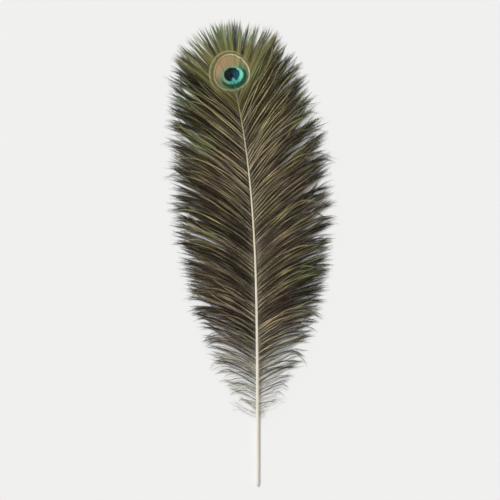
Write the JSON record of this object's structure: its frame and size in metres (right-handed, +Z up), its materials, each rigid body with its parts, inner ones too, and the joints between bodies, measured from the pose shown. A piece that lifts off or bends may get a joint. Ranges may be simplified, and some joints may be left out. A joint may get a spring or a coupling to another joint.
{
  "type": "peacock feather",
  "caption": "Peacock train feather lying display side up: bare quill, tapering shaft, loose barbs on both sides and a closed eye with a fringe at the tip.",
  "frame": {"origin": "middle of the feather's box in plan, on the surface that it lies on", "axes": "+Y from the quill end towards the eye, +Z up from the display side, +X to the right when the eye is at the top"},
  "size_m": [0.2732, 0.7006, 0.014],
  "materials": {
    "barbs": "satin",
    "eye": "satin",
    "shaft": "satin"
  },
  "bodies": {
    "root": {"feather": "barbs"}
  },
  "joints": []
}
